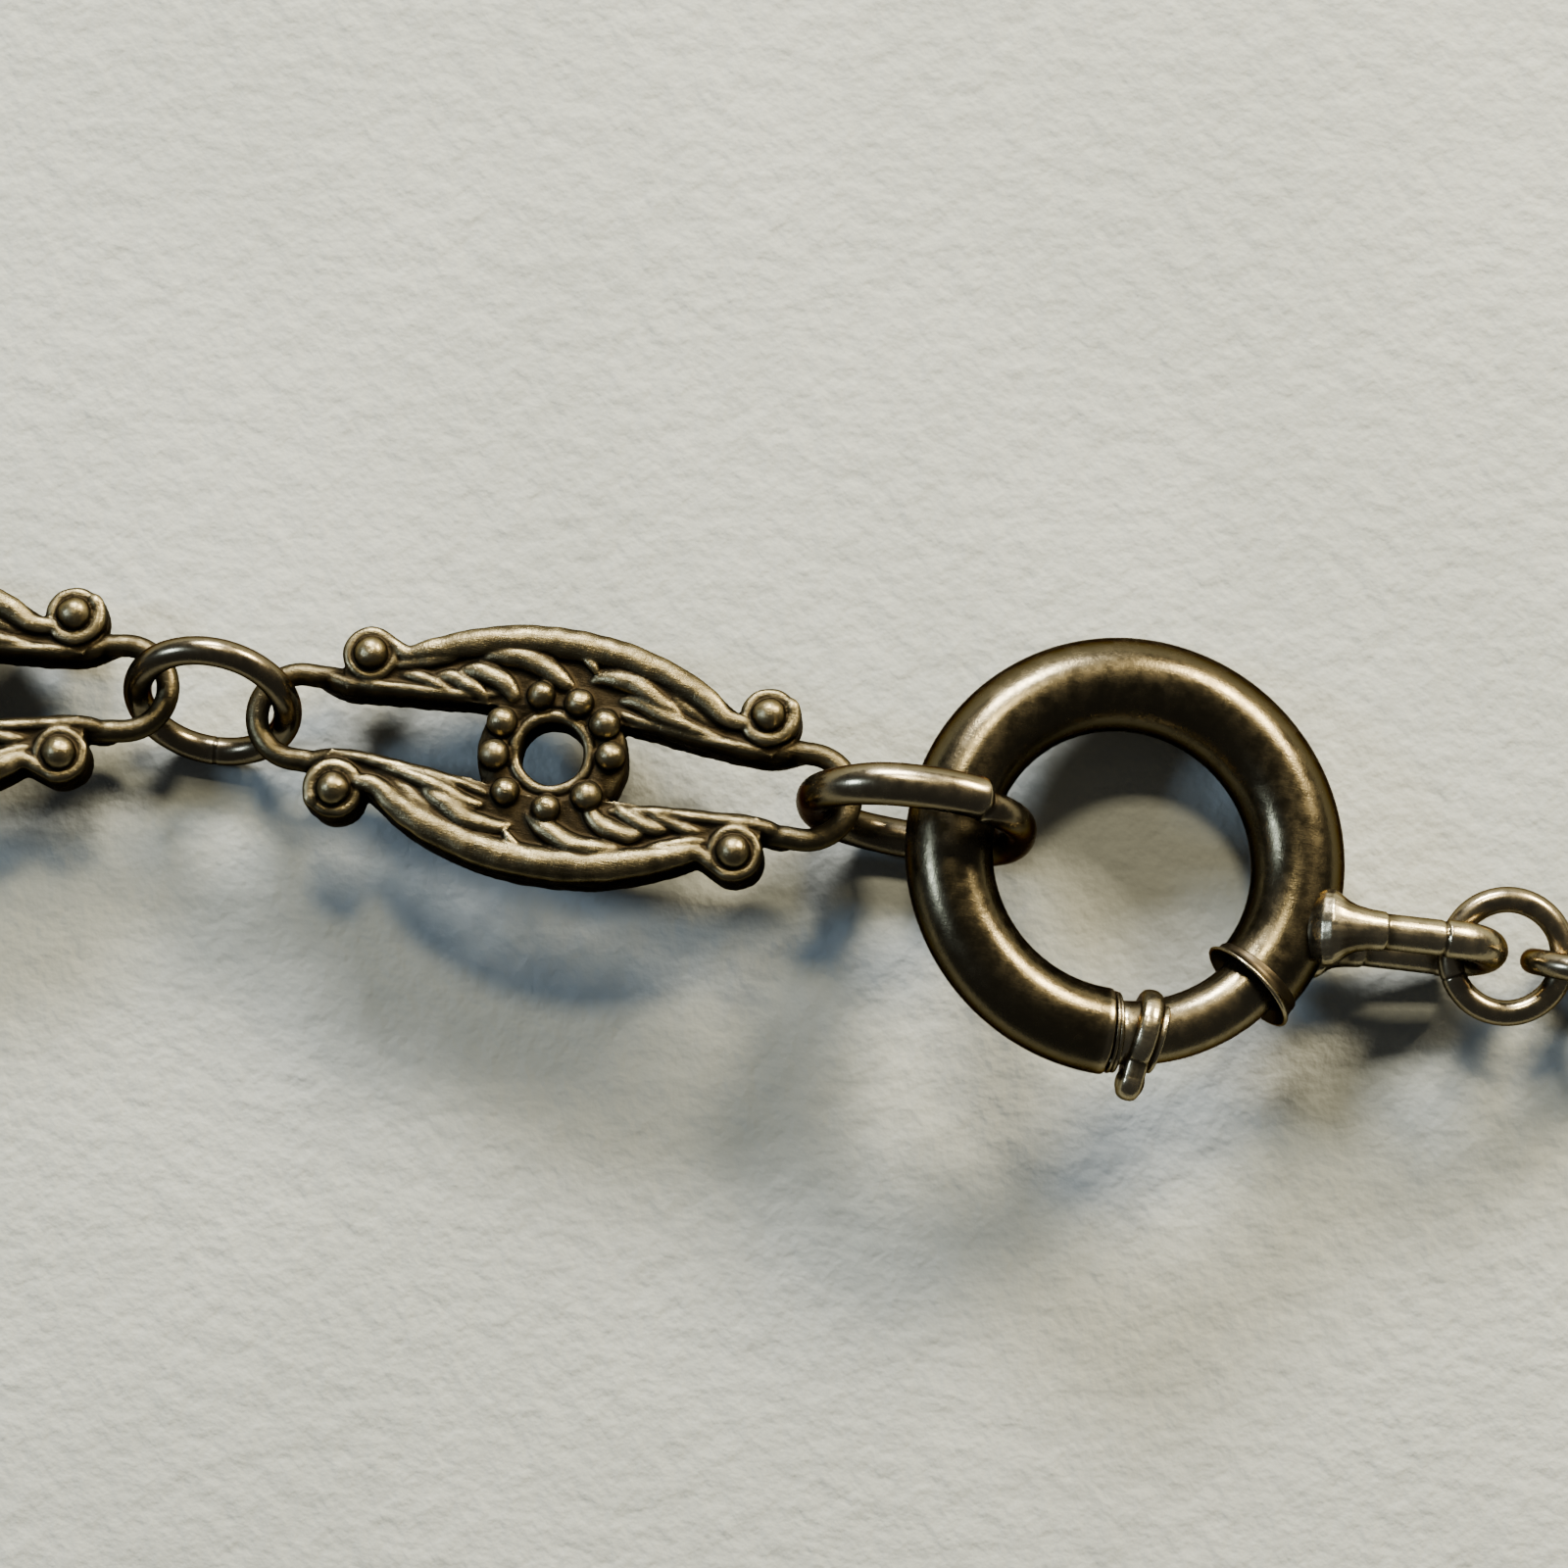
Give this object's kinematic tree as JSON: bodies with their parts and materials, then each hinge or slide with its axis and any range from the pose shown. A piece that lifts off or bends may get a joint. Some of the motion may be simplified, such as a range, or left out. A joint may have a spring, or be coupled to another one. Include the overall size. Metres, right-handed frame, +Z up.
{
  "type": "pocket watch chain with bolt ring",
  "caption": "Length of openwork silver pocket-watch chain: cast scrolled links joined by jump rings, a sprung bolt ring with thumb piece and soldered eye, and small rings beyond it.",
  "frame": {"origin": "bottom centre of the chain's bounding box, on the surface that it lies on", "axes": "+X along the chain from the far cast link to the rings beyond the bolt ring, +Z up from the surface; the decorated faces look up"},
  "size_m": [0.0726, 0.0142, 0.0074],
  "materials": {
    "old_silver": "tarnished silver, satin, warm olive-brown with worn cream edges",
    "worn_silver": "handled silver, brighter and scratched",
    "dark_silver": "dark tarnished silver wire, glossy",
    "spring_steel": "drawn steel wire"
  },
  "bodies": {
    "clasp": {"bolt_ring_tube": "old_silver", "tube_end_ferrule": "old_silver", "mouth_collar": "worn_silver", "bolt_spring": "spring_steel", "spring_stop": "old_silver", "clasp_eye": "worn_silver"},
    "bolt": {"sliding_bolt": "worn_silver", "thumb_piece": "worn_silver"},
    "clasp_ring": {"clasp_jump_ring": "dark_silver"},
    "near_link": {"near_cast_link": "old_silver"},
    "link_ring": {"link_jump_ring": "dark_silver"},
    "far_link": {"far_cast_link": "old_silver"},
    "end_ring": {"end_jump_ring": "dark_silver"},
    "eye_ring": {"eye_ring": "dark_silver"},
    "standing_ring": {"standing_ring": "dark_silver"},
    "last_ring": {"last_ring": "dark_silver"}
  },
  "joints": [
    {"name": "bolt_slide", "type": "hinge", "parent": "clasp", "child": "bolt", "pos_m": [0.01684, 0.00026, 0.00311], "axis": [0.108, 0.2405, 0.9646], "range_deg": [0, 30], "stiffness_Nm_per_rad": 0.006, "springref_deg": -20.05, "deforming": ["bolt_spring"]},
    {"name": "clasp_ring_swing", "type": "hinge", "parent": "clasp", "child": "clasp_ring", "pos_m": [0.01133, 0.00041, 0.0037], "axis": [0, 0.9703, -0.2419], "range_deg": [-60, 60]},
    {"name": "near_link_turn", "type": "hinge", "parent": "clasp_ring", "child": "near_link", "pos_m": [0.00705, 0.00041, 0.00371], "axis": [0, 0.2419, 0.9703], "range_deg": [-55, 55]},
    {"name": "link_ring_swing", "type": "hinge", "parent": "near_link", "child": "link_ring", "pos_m": [-0.01065, 0.0001, 0.0022], "axis": [0, -0.766, 0.6428], "range_deg": [-45, 45]},
    {"name": "far_link_turn", "type": "hinge", "parent": "link_ring", "child": "far_link", "pos_m": [-0.01446, 0.00012, 0.00228], "axis": [0, 0.6428, 0.766], "range_deg": [-55, 55]},
    {"name": "end_ring_swing", "type": "hinge", "parent": "far_link", "child": "end_ring", "pos_m": [-0.0321, -0.00299, 0.00228], "axis": [0.133, -0.7544, 0.6428], "range_deg": [-60, 60]},
    {"name": "eye_ring_turn", "type": "hinge", "parent": "clasp", "child": "eye_ring", "pos_m": [0.02858, -0.00071, 0.00204], "axis": [0, 0, 1], "range_deg": [-50, 50]},
    {"name": "standing_ring_swing", "type": "hinge", "parent": "eye_ring", "child": "standing_ring", "pos_m": [0.03106, -0.00071, 0.00203], "axis": [0, -1, 0], "range_deg": [-50, 50]},
    {"name": "last_ring_turn", "type": "hinge", "parent": "standing_ring", "child": "last_ring", "pos_m": [0.03352, -0.00071, 0.00148], "axis": [0.4036, 0, 0.9149], "range_deg": [-60, 60]}
  ]
}
